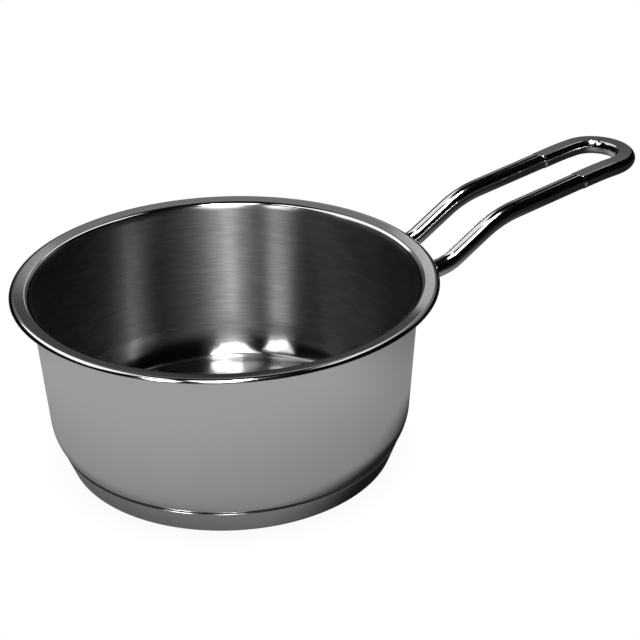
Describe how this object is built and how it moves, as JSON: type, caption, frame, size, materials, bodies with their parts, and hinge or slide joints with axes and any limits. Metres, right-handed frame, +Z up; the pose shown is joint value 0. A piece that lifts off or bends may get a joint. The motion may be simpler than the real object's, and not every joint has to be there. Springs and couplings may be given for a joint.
{
  "type": "saucepan",
  "caption": "Round steel saucepan with tapered wall, flared pouring rim, capped sandwich base and a handle bent from round rod into a long loop with a flattened end.",
  "frame": {"origin": "centre of the base's flat underside, on the vessel's axis", "axes": "+Z up along the vessel's axis, +X from the vessel towards the end of the handle"},
  "size_m": [0.298, 0.1766, 0.0961],
  "materials": {
    "vessel_steel": "polished outside, satin turned inside",
    "core_aluminium": "rolled, hidden inside the base",
    "cap_steel": "polished side, turned underside",
    "handle_steel": "polished rod, satin on the pressed end",
    "weld_steel": "as welded, lightly cleaned"
  },
  "bodies": {
    "root": {"pan_body": "vessel_steel", "heat_core": "core_aluminium", "base_cap": "cap_steel", "handle_rod": "handle_steel", "weld_left": "weld_steel", "weld_right": "weld_steel"}
  },
  "joints": []
}
